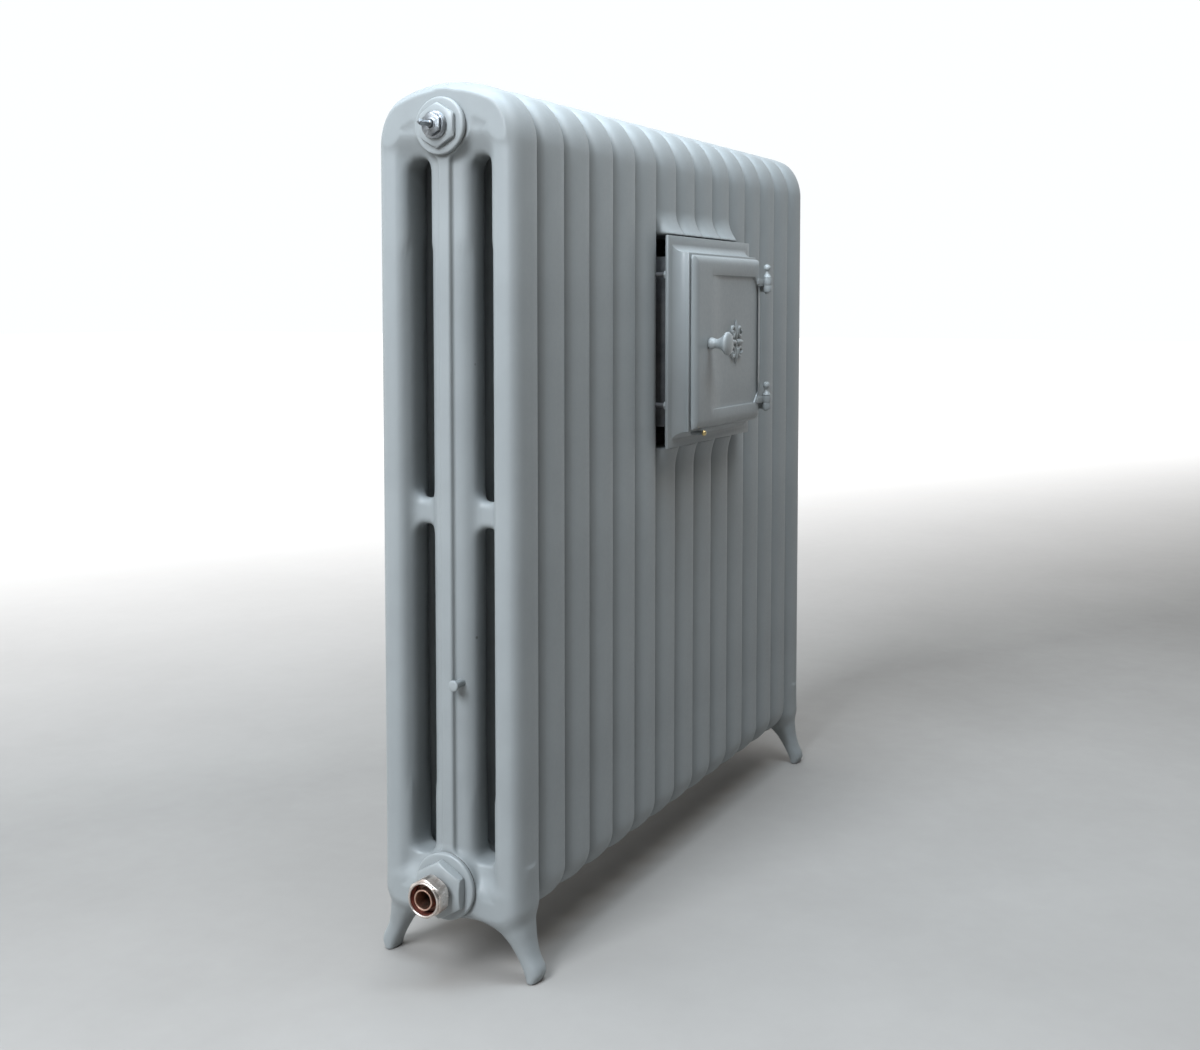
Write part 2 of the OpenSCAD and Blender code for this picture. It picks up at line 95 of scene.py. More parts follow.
# The slots, the web's half thickness by height, the hubs and the legs
SLOT_Y, SLOT_HALF_W, SLOT_END_R = 40.0, 19.0, 18.0
LOW_SLOT, HIGH_SLOT = (123.0, 492.0), (521.0, 892.0)
SLOT_WEB, END_WEB, CROWN_WEB = 9.0, 17.0, 28.5
THIN_FROM, THIN_TO, FILL_FROM, FILL_TO = 200.0, 800.0, 890.0, 918.0
HUB_BORE_R, LOW_HUB_R, HIGH_HUB_R = 24.0, 36.0, 31.5
LEG_TOP = 122.0

# ---------------------------------------------------------------- fields and meshes


def smooth_min(a, b, k):
    """Union of two fields, blended over a width k."""
    h = np.clip(0.5 + 0.5 * (b - a) / k, 0, 1)
    return b + (a - b) * h - k * h * (1 - h)


def smooth_max(a, b, k):
    """Intersection of two fields, blended over a width k."""
    return -smooth_min(-a, -b, k)


def round_max(a, b, r):
    """Intersection of two fields with an edge of radius r."""
    corner = np.hypot(np.maximum(a + r, 0), np.maximum(b + r, 0)) - r
    return corner + np.minimum(np.maximum(a, b) + r, 0)


def oval(u, v, half_u, half_v, power):
    """Field of a full oval, scaled to be near a distance at its narrow side."""
    size = (np.abs(u / half_u) ** power + np.abs(v / half_v) ** power) ** (1 / power)
    return (size - 1) * np.minimum(half_u, half_v)


def box_field(u, v, half_u, half_v, r):
    """Field of a rectangle with corners of radius r, negative inside."""
    a, b = np.abs(u) - half_u + r, np.abs(v) - half_v + r
    return np.hypot(np.maximum(a, 0), np.maximum(b, 0)) + np.minimum(np.maximum(a, b), 0) - r


def smooth_step(low, high, t):
    """Zero below the low value, one above the high one, and eased between them."""
    s = np.clip((t - low) / (high - low), 0, 1)
    return s * s * (3 - 2 * s)


def steps(*spans):
    """Grid coordinates from (start, end, spacing) spans that follow each other."""
    out = [np.linspace(a, b, max(2, round((b - a) / d) + 1))[:-1] for a, b, d in spans]
    return np.concatenate(out + [[spans[-1][1]]])


def net(field, xs, ys, zs, passes=4):
    """Quads on the surface where field(x, y, z) is zero. Each grid axis has its own spacing."""
    axes = [np.asarray(a, float) for a in (xs, ys, zs)]
    values = field(*np.meshgrid(*axes, indexing="ij"))
    cells = tuple(n - 1 for n in values.shape)
    total = int(np.prod(cells))
    sums, count, rings = np.zeros((total, 3)), np.zeros(total), []
    for axis in range(3):
        others = [a for a in range(3) if a != axis]
        low = np.take(values, range(values.shape[axis] - 1), axis)
        high = np.take(values, range(1, values.shape[axis]), axis)
        at = np.argwhere((low < 0) != (high < 0))
        inner = np.all([(at[:, a] > 0) & (at[:, a] < cells[a]) for a in others], axis=0)
        at = at[inner]
        a, b = low[tuple(at.T)], high[tuple(at.T)]
        share = a / (a - b)
        point = np.stack([axes[i][at[:, i]] for i in range(3)], 1)
        span = axes[axis][at[:, axis] + 1] - axes[axis][at[:, axis]]
        point[:, axis] += share * span
        ring = []
        for du, dv in ((0, 0), (-1, 0), (-1, -1), (0, -1)):
            cell = at.copy()
            cell[:, others[0]] += du
            cell[:, others[1]] += dv
            index = np.ravel_multi_index(tuple(cell.T), cells)
            for i in range(3):
                sums[:, i] += np.bincount(index, point[:, i], total)
            count += np.bincount(index, minlength=total)
            ring.append(index)
        ring = np.stack(ring, 1)
        flip = (a < 0) == (axis == 1)
        ring[flip] = ring[flip][:, ::-1]
        rings.append(ring)
    used = np.flatnonzero(count)
    points = sums[used] / count[used, None]
    number = np.full(total, -1)
    number[used] = np.arange(len(used))
    faces = number[np.concatenate(rings)]
    return settle(field, points, passes), faces


def settle(field, points, passes, reach=1.2):
    """Moves points onto the surface along the field's slope."""
    points = points.copy()
    for _ in range(passes):
        value = field(*points.T)
        slope = gradient(field, points)
        steepness = np.maximum((slope**2).sum(1), 0.04)
        move = slope * (value / steepness)[:, None]
        length = np.linalg.norm(move, axis=1)
        points -= move * np.minimum(1, reach / np.maximum(length, 1e-9))[:, None]
    return points


def gradient(field, points, h=0.05):
    """The field's slope at each point, by central differences."""
    out = np.empty_like(points)
    for i in range(3):
        step = np.zeros(3)
        step[i] = h
        out[:, i] = (field(*(points + step).T) - field(*(points - step).T)) / (2 * h)
    return out


AROUND = np.linspace(0, 2 * np.pi, 96, endpoint=False)

# Tangent of the angle at which nut corners are turned off, and the angle from which an edge is sharp
TURNED_OFF = 0.577
SHARP_FROM = math.radians(38)


def many_sided(flats, sides=6):
    """Radius of a regular outline with a corner at the start, by angle."""
    half = np.pi / sides
    return flats / 2 / np.cos(AROUND % (2 * half) - half)


def nut_rings(start, end, flats, limit=math.inf):
    """Rings of a six-sided head whose corners are turned off at 30 degrees at both ends."""
    face = flats / 2 * 0.97
    side = np.minimum(many_sided(flats), limit)
    taper = (side - face) * TURNED_OFF * np.sign(end - start)
    return [(start, face), (start + taper, side), (end - taper, side), (end, face)]


def flowing(points, fine=6):
    """Smooth curve through (place, radius) points."""
    p = np.array([points[0], *points, points[-1]], float)
    out = []
    for i in range(1, len(p) - 2):
        t = np.linspace(0, 1, fine, endpoint=False)[:, None]
        a = 2 * p[i] + (p[i + 1] - p[i - 1]) * t
        b = (2 * p[i - 1] - 5 * p[i] + 4 * p[i + 1] - p[i + 2]) * t**2
        c = (3 * p[i] - p[i - 1] - 3 * p[i + 1] + p[i + 2]) * t**3
        out.extend((a + b + c) / 2)
    return [tuple(q) for q in out] + [tuple(points[-1])]


def ball(centre, radius, start, end, count=10):
    """Rings of part of a ball, from one latitude to another in degrees."""
    turns = np.radians(np.linspace(start, end, count))
    return [(centre + radius * math.sin(t), radius * math.cos(t)) for t in turns]


def skinned(loops, ring=False, caps=False):
    """Points and quads of loops that follow each other, closed in a ring or by end faces."""
    across = len(loops[0])
    faces = []
    for i in range(len(loops) if ring else len(loops) - 1):
        a, b = i * across, (i + 1) % len(loops) * across
        faces += [(a + j, a + (j + 1) % across, b + (j + 1) % across, b + j) for j in range(across)]
    if caps:
        faces.append(tuple(range(across)))
        faces.append(tuple(range(across * (len(loops) - 1), across * len(loops))))
    return np.concatenate(loops), faces


def turned(rings, axis=0, centre=(0, 0, 0)):
    """A body turned about an axis from (place, radius) rings. It is hollow unless it starts on the axis."""
    loops = []
    for where, radius in rings:
        along = np.broadcast_to(where, AROUND.shape)
        circle = np.stack([along, radius * np.sin(AROUND), radius * np.cos(AROUND)], 1)
        loops.append(np.roll(circle, axis, axis=1) + centre)
    return skinned(loops, ring=np.min(rings[0][1]) > 0)


def brick(low, high):
    """Points and faces of a block between two corners."""
    (x0, y0, z0), (x1, y1, z1) = low, high
    loops = [np.array([(x0, y, z0), (x1, y, z0), (x1, y, z1), (x0, y, z1)]) for y in (y0, y1)]
    return skinned(loops, caps=True)


def frame_loop(x0, x1, z0, z1, y, grow=0.0):
    """The four corners of an upright rectangle, grown by a margin."""
    x0, x1, z0, z1 = x0 - grow, x1 + grow, z0 - grow, z1 + grow
    return np.array([(x0, y, z0), (x1, y, z0), (x1, y, z1), (x0, y, z1)], float)


def bent_rod(path, radii, sides=12):
    """A rod of changing thickness along a path that lies in an upright plane."""
    path = np.asarray(path, float)
    along = np.gradient(path, axis=0)
    along /= np.linalg.norm(along, axis=1)[:, None]
    turns = np.linspace(0, 2 * np.pi, sides, endpoint=False)
    loops = []
    for point, way, radius in zip(path, along, radii):
        side = np.array([way[2], 0, -way[0]])
        up = np.array([0, -1, 0])
        loops.append(point + radius * (np.outer(np.cos(turns), side) + np.outer(np.sin(turns), up)))
    return skinned(loops, caps=True)


def shape(name, parts, edge=0.4, turn=30):
    """One mesh from several parts, with its sharp edges rounded over."""
    work = bmesh.new()
    for points, faces in parts:
        made = [work.verts.new(p) for p in np.asarray(points) * MM]
        for face in faces:
            work.faces.new([made[i] for i in face])
    bmesh.ops.remove_doubles(work, verts=work.verts, dist=2e-6)
    bmesh.ops.recalc_face_normals(work, faces=work.faces)
    sharp = [e for e in work.edges if e.is_manifold and e.calc_face_angle(0) > math.radians(turn)]
    if edge and sharp:
        bmesh.ops.bevel(work, geom=sharp, offset=edge * MM, segments=2, profile=0.5,
                        affect="EDGES", clamp_overlap=True)
    mesh = bpy.data.meshes.new(name)
    work.to_mesh(mesh)
    work.free()
    mesh.polygons.foreach_set("use_smooth", [True] * len(mesh.polygons))
    mesh.set_sharp_from_angle(angle=SHARP_FROM)
    return mesh


def mesh_from(name, points, faces):
    """A smooth mesh in metres, from block millimetres relative to its own origin."""
    mesh = bpy.data.meshes.new(name)
    mesh.from_pydata((np.asarray(points) * MM).tolist(), [], [list(map(int, f)) for f in faces])
    mesh.validate()
    mesh.update()
    mesh.polygons.foreach_set("use_smooth", [True] * len(mesh.polygons))
    return mesh


def add_piece(name, mesh, body, nodes, material, at=(0, 0, 0)):
    """Puts a mesh in the scene at a block position and ties it to its body and CAD nodes."""
    piece = bpy.data.objects.new(name, mesh)
    bpy.context.scene.collection.objects.link(piece)
    piece.location = Vector(place(at))
    if not mesh.materials:
        mesh.materials.append(material)
    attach(piece, body)
    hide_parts(*nodes)
    return piece


# ---------------------------------------------------------------- radiator sections


def outline_field(y, z, corner):
    """Side view of a section: straight sides, arched crown and rounded lower corners."""
    side = np.abs(y - MIDDLE_Y) - MIDDLE_Y
    crown = np.hypot(y - MIDDLE_Y, np.maximum(z - (HEIGHT - CROWN_R), 0)) - CROWN_R
    return round_max(round_max(side, crown, CROWN_EDGE_R), LOWEST - z, corner)


def slot_field(y, z):
    """The four upright gaps, wider than they look because the tubes blend into them."""
    across = np.abs(np.abs(y - MIDDLE_Y) - SLOT_Y)
    fields = [box_field(across, z - (low + high) / 2, SLOT_HALF_W, (high - low) / 2, SLOT_END_R)
              for low, high in (LOW_SLOT, HIGH_SLOT)]
    return np.minimum(*fields)


def lip_flare(z):
    """How far the front tubes swell towards the casing, above and below it."""
    low = np.clip((z - RECESS_LOW + LIP_H) / LIP_H, 0, 1) * (z < RECESS_MIDDLE)
    high = np.clip((RECESS_HIGH + LIP_H - z) / LIP_H, 0, 1) * (z > RECESS_MIDDLE)
    return (STANDOFF - 0.6) * (0.5 * low**2 + high**2)


def section_field(x, y, z, feet=False, recess=False):
    """A whole section: hoop, web with its slots, middle column, hubs, and feet or a recess."""
    corner = FOOT_CORNER_R if feet else LOW_CORNER_R
    outline = outline_field(y, z, corner)
    flare = lip_flare(z) if recess else 0
    hoop_line = outline_field(y + flare * (y < 45), z, corner) + TUBE_HALF_D
    body = oval(x, hoop_line, TUBE_HALF_W, TUBE_HALF_D, TUBE_POWER)
    web_half = np.where((z > THIN_FROM) & (z < THIN_TO), SLOT_WEB, END_WEB)
    web_half = web_half + (CROWN_WEB - END_WEB) * smooth_step(FILL_FROM, FILL_TO, z)
    web = smooth_max(np.abs(x) - web_half, outline + 16, 6)
    web = smooth_max(web, -slot_field(y, z), 9)
    body = smooth_min(body, web, 11)
    middle = oval(x, y - MIDDLE_Y, MIDDLE_HALF_W, MIDDLE_HALF_D, MIDDLE_POWER)
    rib = box_field(np.abs(x) - RIB_X, y - MIDDLE_Y, RIB_HALF_W, RIB_HALF_D, RIB_EDGE_R)
    middle = smooth_min(middle, rib, 2.5)
    middle = smooth_max(middle, outline + 12, 8)
    body = smooth_min(body, middle, 8)
    for height, radius in ((LOW_HUB, LOW_HUB_R), (HIGH_HUB, HIGH_HUB_R)):
        hub = np.hypot(y - MIDDLE_Y, z - height) - radius
        hub = smooth_max(round_max(hub, np.abs(x) - 30.2, 2), outline + 5, 5)
        body = smooth_min(body, hub, 9)
    if recess:
        half_h = (RECESS_HIGH - RECESS_LOW) / 2
        hollow = box_field(y - RECESS_Y, z - RECESS_MIDDLE, RECESS_HALF_D, half_h, 2)
        body = smooth_max(body, -hollow, 2.5)
    if feet:
        body = smooth_min(body, np.minimum(leg_field(x, y, z), leg_field(x, DEPTH - y, z)), 9)
        body = round_max(body, -z, 1.5)
    for height in (LOW_HUB, HIGH_HUB):
        body = np.maximum(body, HUB_BORE_R - np.hypot(y - MIDDLE_Y, z - height))
    return np.maximum(body, np.abs(x) - PITCH / 2)


def eased(z, heights, values, reach=4):
    """Values read off against height, with the corners of the line eased."""
    return sum(np.interp(z + shift, heights, values) for shift in (-reach, 0, reach)) / 3


def leg_field(x, y, z):
    """A flared leg: its front and back edges against height, and its width across."""
    front = eased(z, [0, 5, 14, 29, 45, 70, 105], [-8.5, -14, -15, -6.5, -2, 1, 6])
    back = eased(z, [0, 5, 13, 31, 46, 54, 62, 76], [1, 3.5, 7, 17, 27, 36, 48, 74])
    half_w = 13.6 + 14 * smooth_step(22, 82, z) - 12 * smooth_step(94, LEG_TOP, z)
    leg = oval(x, y - (front + back) / 2, half_w, (back - front) / 2, 2.5)
    return np.maximum(leg, z - LEG_TOP)


def section_mesh(name, feet=False, recess=False, fine=2.1, coarse=9.0):
    """A section's mesh. Its grid is coarse in height where the columns run straight."""
    spans = [(52, 150, fine), (150, 468, coarse), (468, 545, fine), (545, 868, coarse)]
    if recess:
        spans = [(52, 150, fine), (150, 468, coarse), (468, 560, fine), (560, 815, coarse)]
        spans.append((815, HEIGHT + 3, fine))
    else:
        spans.append((868, HEIGHT + 3, fine))
    if feet:
        spans[0] = (-3, 150, fine)
    reach = 18 if feet or recess else 3
    ys = steps((-reach, DEPTH + reach, fine))
    xs = steps((-31.5, 31.5, fine))

    def field(x, y, z):
        return section_field(x, y, z, feet, recess)

    points, faces = net(field, xs, ys, steps(*spans))
    return mesh_from(name, points, faces)


# ---------------------------------------------------------------- materials


def new_material(name):
    """A material with its nodes, links and main shader."""
    material = bpy.data.materials.new(name)
    material.use_nodes = True
    nodes = material.node_tree.nodes
    return material, nodes, material.node_tree.links, nodes["Principled BSDF"]


def noise(nodes, links, vector, scale, detail, roughness):
    """Cloudy pattern between zero and one."""
    texture = nodes.new("ShaderNodeTexNoise")
    texture.inputs["Scale"].default_value = scale
    texture.inputs["Detail"].default_value = detail
    texture.inputs["Roughness"].default_value = roughness
    links.new(vector, texture.inputs["Vector"])
    return texture.outputs["Fac"]


def ramp(nodes, links, value, stops):
    """Colour ramp from (place, colour) stops."""
    node = nodes.new("ShaderNodeValToRGB")
    while len(node.color_ramp.elements) < len(stops):
        node.color_ramp.elements.new(0.5)
    for element, (where, colour) in zip(node.color_ramp.elements, stops):
        element.position = where
        element.color = (*colour, 1)
    links.new(value, node.inputs["Fac"])
    return node.outputs["Color"]


def spread(nodes, links, value, low, high, from_low=0.3, from_high=0.7):
    """Maps a value from one range to another, held at the ends."""
    node = nodes.new("ShaderNodeMapRange")
    node.inputs["From Min"].default_value = from_low
    node.inputs["From Max"].default_value = from_high
    node.inputs["To Min"].default_value = low
    node.inputs["To Max"].default_value = high
    links.new(value, node.inputs["Value"])
    return node.outputs["Result"]


def bump(nodes, links, height, strength, distance, normal=None):
    """Surface relief from a height, on top of an earlier relief if one is given."""
    node = nodes.new("ShaderNodeBump")
    node.inputs["Strength"].default_value = strength
    node.inputs["Distance"].default_value = distance
    links.new(height, node.inputs["Height"])
    if normal is not None:
        links.new(normal, node.inputs["Normal"])
    return node.outputs["Normal"]


def object_place(nodes, links, seed, stretch=(1, 1, 1)):
    """Object coordinates, shifted so that two materials don't show the same pattern."""
    where = nodes.new("ShaderNodeTexCoord")
    mapping = nodes.new("ShaderNodeMapping")
    mapping.inputs["Location"].default_value = (seed, seed * 0.7, seed * 1.3)
    mapping.inputs["Scale"].default_value = stretch
    links.new(where.outputs["Object"], mapping.inputs["Vector"])
    return mapping.outputs["Vector"]


def chips(nodes, links, vector, scale, size):
    """One where a small chip or pinhole sits, at scattered places."""
    cells = nodes.new("ShaderNodeTexVoronoi")
    cells.inputs["Scale"].default_value = scale
    links.new(vector, cells.inputs["Vector"])
    split = nodes.new("ShaderNodeSeparateColor")
    links.new(cells.outputs["Color"], split.inputs["Color"])
    chosen = spread(nodes, links, split.outputs["Red"], 0, 1, 0.86, 0.88)
    near = spread(nodes, links, cells.outputs["Distance"], 1, 0, size * 0.5, size)
    both = nodes.new("ShaderNodeMath")
    both.operation = "MULTIPLY"
    links.new(chosen, both.inputs[0])
    links.new(near, both.inputs[1])
    return both.outputs["Value"]


def mixed(nodes, links, share, first, second):
    """Blends two colours or colour outputs."""
    node = nodes.new("ShaderNodeMix")
    node.data_type = "RGBA"
    links.new(share, node.inputs["Factor"])
    for socket, value in ((node.inputs[6], first), (node.inputs[7], second)):
        if isinstance(value, tuple):
            socket.default_value = (*value, 1)
        else:
            links.new(value, socket)
    return node.outputs[2]


def curvature_wear_and_shade(nodes, links, low, high):
    """A mask from the mesh's own curvature. With low below high it is one on outward edges, for wear; with
    the range turned round it is one in hollows, for painted shade.
    """
    geometry = nodes.new("ShaderNodeNewGeometry")
    return spread(nodes, links, geometry.outputs["Pointiness"], 0, 1, low, high)


def painted_iron(name, colour, rough=0.42, seed=0.0, peel=0.00022, dents=0.0006):
    """Satin enamel over a sand casting: cloudy tone, painted shade in hollows, peel, dents and small chips.
    """
    material, nodes, links, shader = new_material(name)
    at = object_place(nodes, links, seed)
    cloud = noise(nodes, links, at, 7.0, 4.0, 0.6)
    fine = noise(nodes, links, at, 190.0, 3.0, 0.6)
    wave = noise(nodes, links, at, 24.0, 2.0, 0.5)
    dark = tuple(c * 0.92 for c in colour)
    light = tuple(min(1, c * 1.07) for c in colour)
    tone = ramp(nodes, links, cloud, [(0.3, dark), (0.52, colour), (0.72, light)])
    # Painted shade: hollows and creases are darkened towards 0.45 of the paint colour, in place of the
    # shade that gathers there.
    painted_hollow_shade = curvature_wear_and_shade(nodes, links, 0.495, 0.43)
    tone = mixed(nodes, links, spread(nodes, links, painted_hollow_shade, 0, 0.45, 0, 1), tone,
                 tuple(c * 0.45 for c in colour))
    rubbed = curvature_wear_and_shade(nodes, links, 0.54, 0.64)
    tone = mixed(nodes, links, spread(nodes, links, rubbed, 0, 0.35, 0, 1), tone,
                 tuple(min(1, c * 1.35) for c in colour))
    chip = chips(nodes, links, at, 11.0, 0.028)
    tone = mixed(nodes, links, spread(nodes, links, chip, 0, 0.8, 0, 1), tone, (0.07, 0.065, 0.06))
    links.new(tone, shader.inputs["Base Color"])
    links.new(spread(nodes, links, fine, rough - 0.05, rough + 0.07), shader.inputs["Roughness"])
    pit = bump(nodes, links, chip, -0.8, 0.0008)
    first = bump(nodes, links, wave, 0.55, dents, pit)
    links.new(bump(nodes, links, fine, 0.5, peel, first), shader.inputs["Normal"])
    shader.inputs["Specular IOR Level"].default_value = 0.5
    return material


def bare_metal(name, colour, tarnish, rough=0.3, seed=0.0, scratch=0.35, stained=0.5):
    """Handled metal: bright where rubbed, tarnished in patches, with fine scratches."""
    material, nodes, links, shader = new_material(name)
    at = object_place(nodes, links, seed)
    lines = object_place(nodes, links, seed + 2.0, (1.0, 7.0, 7.0))
    patch = noise(nodes, links, at, 60.0, 5.0, 0.65)
    streak = noise(nodes, links, lines, 140.0, 4.0, 0.7)
    fine = noise(nodes, links, at, 520.0, 3.0, 0.6)
    tone = ramp(nodes, links, patch, [(stained - 0.14, tarnish), (stained + 0.1, colour)])
    tone = mixed(nodes, links, spread(nodes, links, streak, 0, scratch, 0.56, 0.68), tone,
                 tuple(min(1, c * 1.25) for c in colour))
    rubbed = curvature_wear_and_shade(nodes, links, 0.53, 0.62)
    tone = mixed(nodes, links, spread(nodes, links, rubbed, 0, 0.7, 0, 1), tone,
                 tuple(min(1, c * 1.3) for c in colour))
    links.new(tone, shader.inputs["Base Color"])
    links.new(spread(nodes, links, patch, rough + 0.18, rough, 0.35, 0.6), shader.inputs["Roughness"])
    first = bump(nodes, links, streak, 0.5, 0.00025)
    links.new(bump(nodes, links, fine, 0.4, 0.00012, first), shader.inputs["Normal"])
    shader.inputs["Metallic"].default_value = 1.0
    return material


def dull(name, dark, light, scale, rough, seed=0.0, grain=0.0002):
    """A matt surface mottled between two tones, such as fibre, sheet iron or old primer."""
    material, nodes, links, shader = new_material(name)
    at = object_place(nodes, links, seed)
    patch = noise(nodes, links, at, scale, 5.0, 0.65)
    fine = noise(nodes, links, at, scale * 14, 3.0, 0.6)
    links.new(ramp(nodes, links, patch, [(0.34, dark), (0.66, light)]), shader.inputs["Base Color"])
    links.new(spread(nodes, links, fine, rough - 0.08, rough + 0.08), shader.inputs["Roughness"])
    links.new(bump(nodes, links, fine, 0.6, grain), shader.inputs["Normal"])
    return material


PAINT = (0.270, 0.288, 0.292)
iron = painted_iron("paint_on_sections", PAINT, 0.47)
casing_paint = painted_iron("paint_on_casing", tuple(c * 0.93 for c in PAINT), 0.38, 3.1, 0.00015, 0.0003)
fitting_paint = painted_iron("paint_on_fittings", tuple(c * 1.06 for c in PAINT), 0.36, 5.7, 0.00010,
                             0.0003)
vent_metal = bare_metal("vent_metal", (0.42, 0.44, 0.46), (0.15, 0.16, 0.17), 0.32, 1.7)
nickel = bare_metal("worn_nickel", (0.74, 0.67, 0.62), (0.42, 0.33, 0.28), 0.26, 2.9, 0.8, 0.44)
copper = bare_metal("copper_tail", (0.64, 0.43, 0.34), (0.30, 0.19, 0.14), 0.30, 4.3, 0.4, 0.46)
brass = bare_metal("bright_brass", (0.80, 0.62, 0.30), (0.45, 0.33, 0.15), 0.24, 6.1)
steel = bare_metal("plain_steel", (0.48, 0.48, 0.47), (0.24, 0.22, 0.20), 0.36, 7.7, 0.4)
sheet_iron = dull("sheet_iron", (0.045, 0.045, 0.048), (0.11, 0.11, 0.112), 22.0, 0.62, 1.1)
fibre = dull("fibre_washer", (0.020, 0.014, 0.011), (0.075, 0.045, 0.035), 120.0, 0.85, 8.3)
red_lead = dull("old_primer", (0.055, 0.012, 0.008), (0.22, 0.055, 0.035), 160.0, 0.7, 9.1)

# ---------------------------------------------------------------- CAD parts that stay

KEPT = {
    "nipples_upper": steel, "nipples_lower": steel, "vent_gasket": fibre, "inlet_gasket": fibre,
    "far_gaskets": fibre, "latch_spindle": steel, "latch_bar": steel, "latch_nut": steel,
}


def dress_kept_parts():
    """Gives the CAD parts that stay visible their materials."""
    for name, material in KEPT.items():
        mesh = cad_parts[name].data
        mesh.materials.clear()
        mesh.materials.append(material)


# ---------------------------------------------------------------- sections


def make_sections():
    """Fifteen castings from three meshes: plain, with feet, and short behind the cupboard."""
    plain = section_mesh("section_plain")
    footed = section_mesh("section_footed", feet=True)
    short = section_mesh("section_short", recess=True)
    for i in range(1, SECTIONS + 1):
        form = footed if i in (1, SECTIONS) else short if i in RECESSED else plain
        add_piece(f"cast_section_{i:02d}", form, "radiator", [f"section_{i:02d}"], iron,
                  at=((i - 0.5) * PITCH, 0, 0))


# ---------------------------------------------------------------- fittings on the hubs

GASKET, FLANGE_T, THREAD_IN, THREAD_R = 1.5, 6.0, 16.5, 23.8
FLANGE_FRONT = -GASKET - FLANGE_T
HIGH_AT = (0, MIDDLE_Y, HIGH_HUB)
LOW_AT = (0, MIDDLE_Y, LOW_HUB)
BOSS_AT = (0, 75, 324)


def bush_rings(bore, flange_r, hex_end, flats):
    """A screwed bush: thread inside the hub, flange on its washer, and a hexagon."""
    return [
        (THREAD_IN, bore), (THREAD_IN, THREAD_R), (-GASKET, THREAD_R), (-GASKET, flange_r - 0.4),
        (-GASKET - 0.6, flange_r), (FLANGE_FRONT + 1.6, flange_r), (FLANGE_FRONT + 0.4, flange_r - 1),
        (FLANGE_FRONT, flange_r - 2.6), (FLANGE_FRONT, flats / 2),
        *nut_rings(FLANGE_FRONT - 0.01, hex_end, flats), (hex_end, bore + 0.8), (hex_end + 0.8, bore),
    ]


def make_vent():
    """The upper hub's bush, the air vent screwed into it, and the vent's spindle."""
    bush = shape("vent_bush_form", [turned(bush_rings(8.05, 30.5, -13.5, 42))], 0.35)
    add_piece("air_vent_bush", bush, "radiator", ["vent_bush"], fitting_paint, HIGH_AT)
    rings = [
        (0.4, 2.5), (0.4, 7.9), (-13.5, 7.9), (-13.5, 13.2), (-14.3, 14.5), (-15.6, 14.5),
        (-16.2, 13.6), (-16.8, 13.6), (-17.4, 14.3), (-18.4, 14.3), (-19.5, 12.8), (-19.5, 11),
        *nut_rings(-19.51, -23.4, 22), (-23.4, 6.4), (-24, 5.8), (-24, 4.4), (-23.4, 3.85),
        (-13, 3.85), (-13, 2.5),
    ]
    body = shape("vent_body_form", [turned(rings)], 0.3)
    add_piece("air_vent_body", body, "radiator", ["vent_body"], vent_metal, HIGH_AT)
    key = np.minimum(many_sided(5.2, 4), 3.3)
    rings = [
        (-8.2, 0), (-8.2, 2.0), (-14.2, 2.2), (-14.2, 3.7), (-26.6, 3.7), (-27.6, 2.7), (-36.6, 2.7),
        (-37.2, key), (-42.2, key), (-43.3, 2.3), (-43.9, 1.1), (-44, 0),
    ]
    stem = shape("vent_spindle_form", [turned(rings)], 0.25)
    add_piece("air_vent_spindle", stem, "vent_stem", ["vent_spindle"], vent_metal, HIGH_AT)


NUT_FRONT, NUT_BACK, NUT_SEAT = -48.0, -26.0, -32.0
TAIL_R, TAIL_BORE = 11.5, 9.5


def nut_thread():
    """Grooves inside the union nut, from its seat out to its mouth."""
    places = np.arange(NUT_SEAT, NUT_FRONT + 1.6, -0.85)
    return [(x, 16.5 + 0.55 * (i % 2)) for i, x in enumerate(places)]


def make_inlet():
    """The lower hub's bush, the tail tube with its collar, and the loose nut round it."""
    bush = shape("inlet_bush_form", [turned(bush_rings(TAIL_R + 0.05, 37, -20.5, 55))], 0.45)
    add_piece("inlet_hex_bush", bush, "radiator", ["inlet_bush"], fitting_paint, LOW_AT)
    rings = [
        (18, TAIL_BORE), (18, TAIL_R), (-32.3, TAIL_R), (-32.3, 15.5), (-36.3, 15.5), (-36.3, TAIL_R),
        (-46.9, TAIL_R), (-47.4, TAIL_R - 0.4), (-47.5, TAIL_R - 1), (-47.2, TAIL_BORE + 0.2),
        (-46.6, TAIL_BORE),
    ]
    tail = shape("inlet_tail_form", [turned(rings)], 0.2)
    add_piece("inlet_union_tail", tail, "radiator", ["inlet_tail"], copper, LOW_AT)
    rings = [
        (NUT_BACK, TAIL_R + 0.1), (NUT_BACK, 17.5), (NUT_BACK - 1.6, 19.2),
        *nut_rings(NUT_BACK - 1.61, NUT_FRONT + 3, 39.6, limit=21.4), (NUT_FRONT + 1.4, 19.4),
        (NUT_FRONT + 0.4, 18.9), (NUT_FRONT, 18.0), (NUT_FRONT, 17.5), (NUT_FRONT + 0.9, 16.7),
        *nut_thread()[::-1], (NUT_SEAT, TAIL_R + 0.1),
    ]
    nut = shape("union_nut_form", [turned(rings)], 0.3)
    nut.materials.append(nickel)
    nut.materials.append(red_lead)
    for face in nut.polygons:
        x, y, z = face.center / MM
        inside = math.hypot(y, z) < 17.3 and NUT_FRONT + 1.2 < x < NUT_BACK - 1
        face.material_index = int(inside)
    add_piece("inlet_union_nut", nut, "loose_nut", ["union_nut"], nickel, LOW_AT)


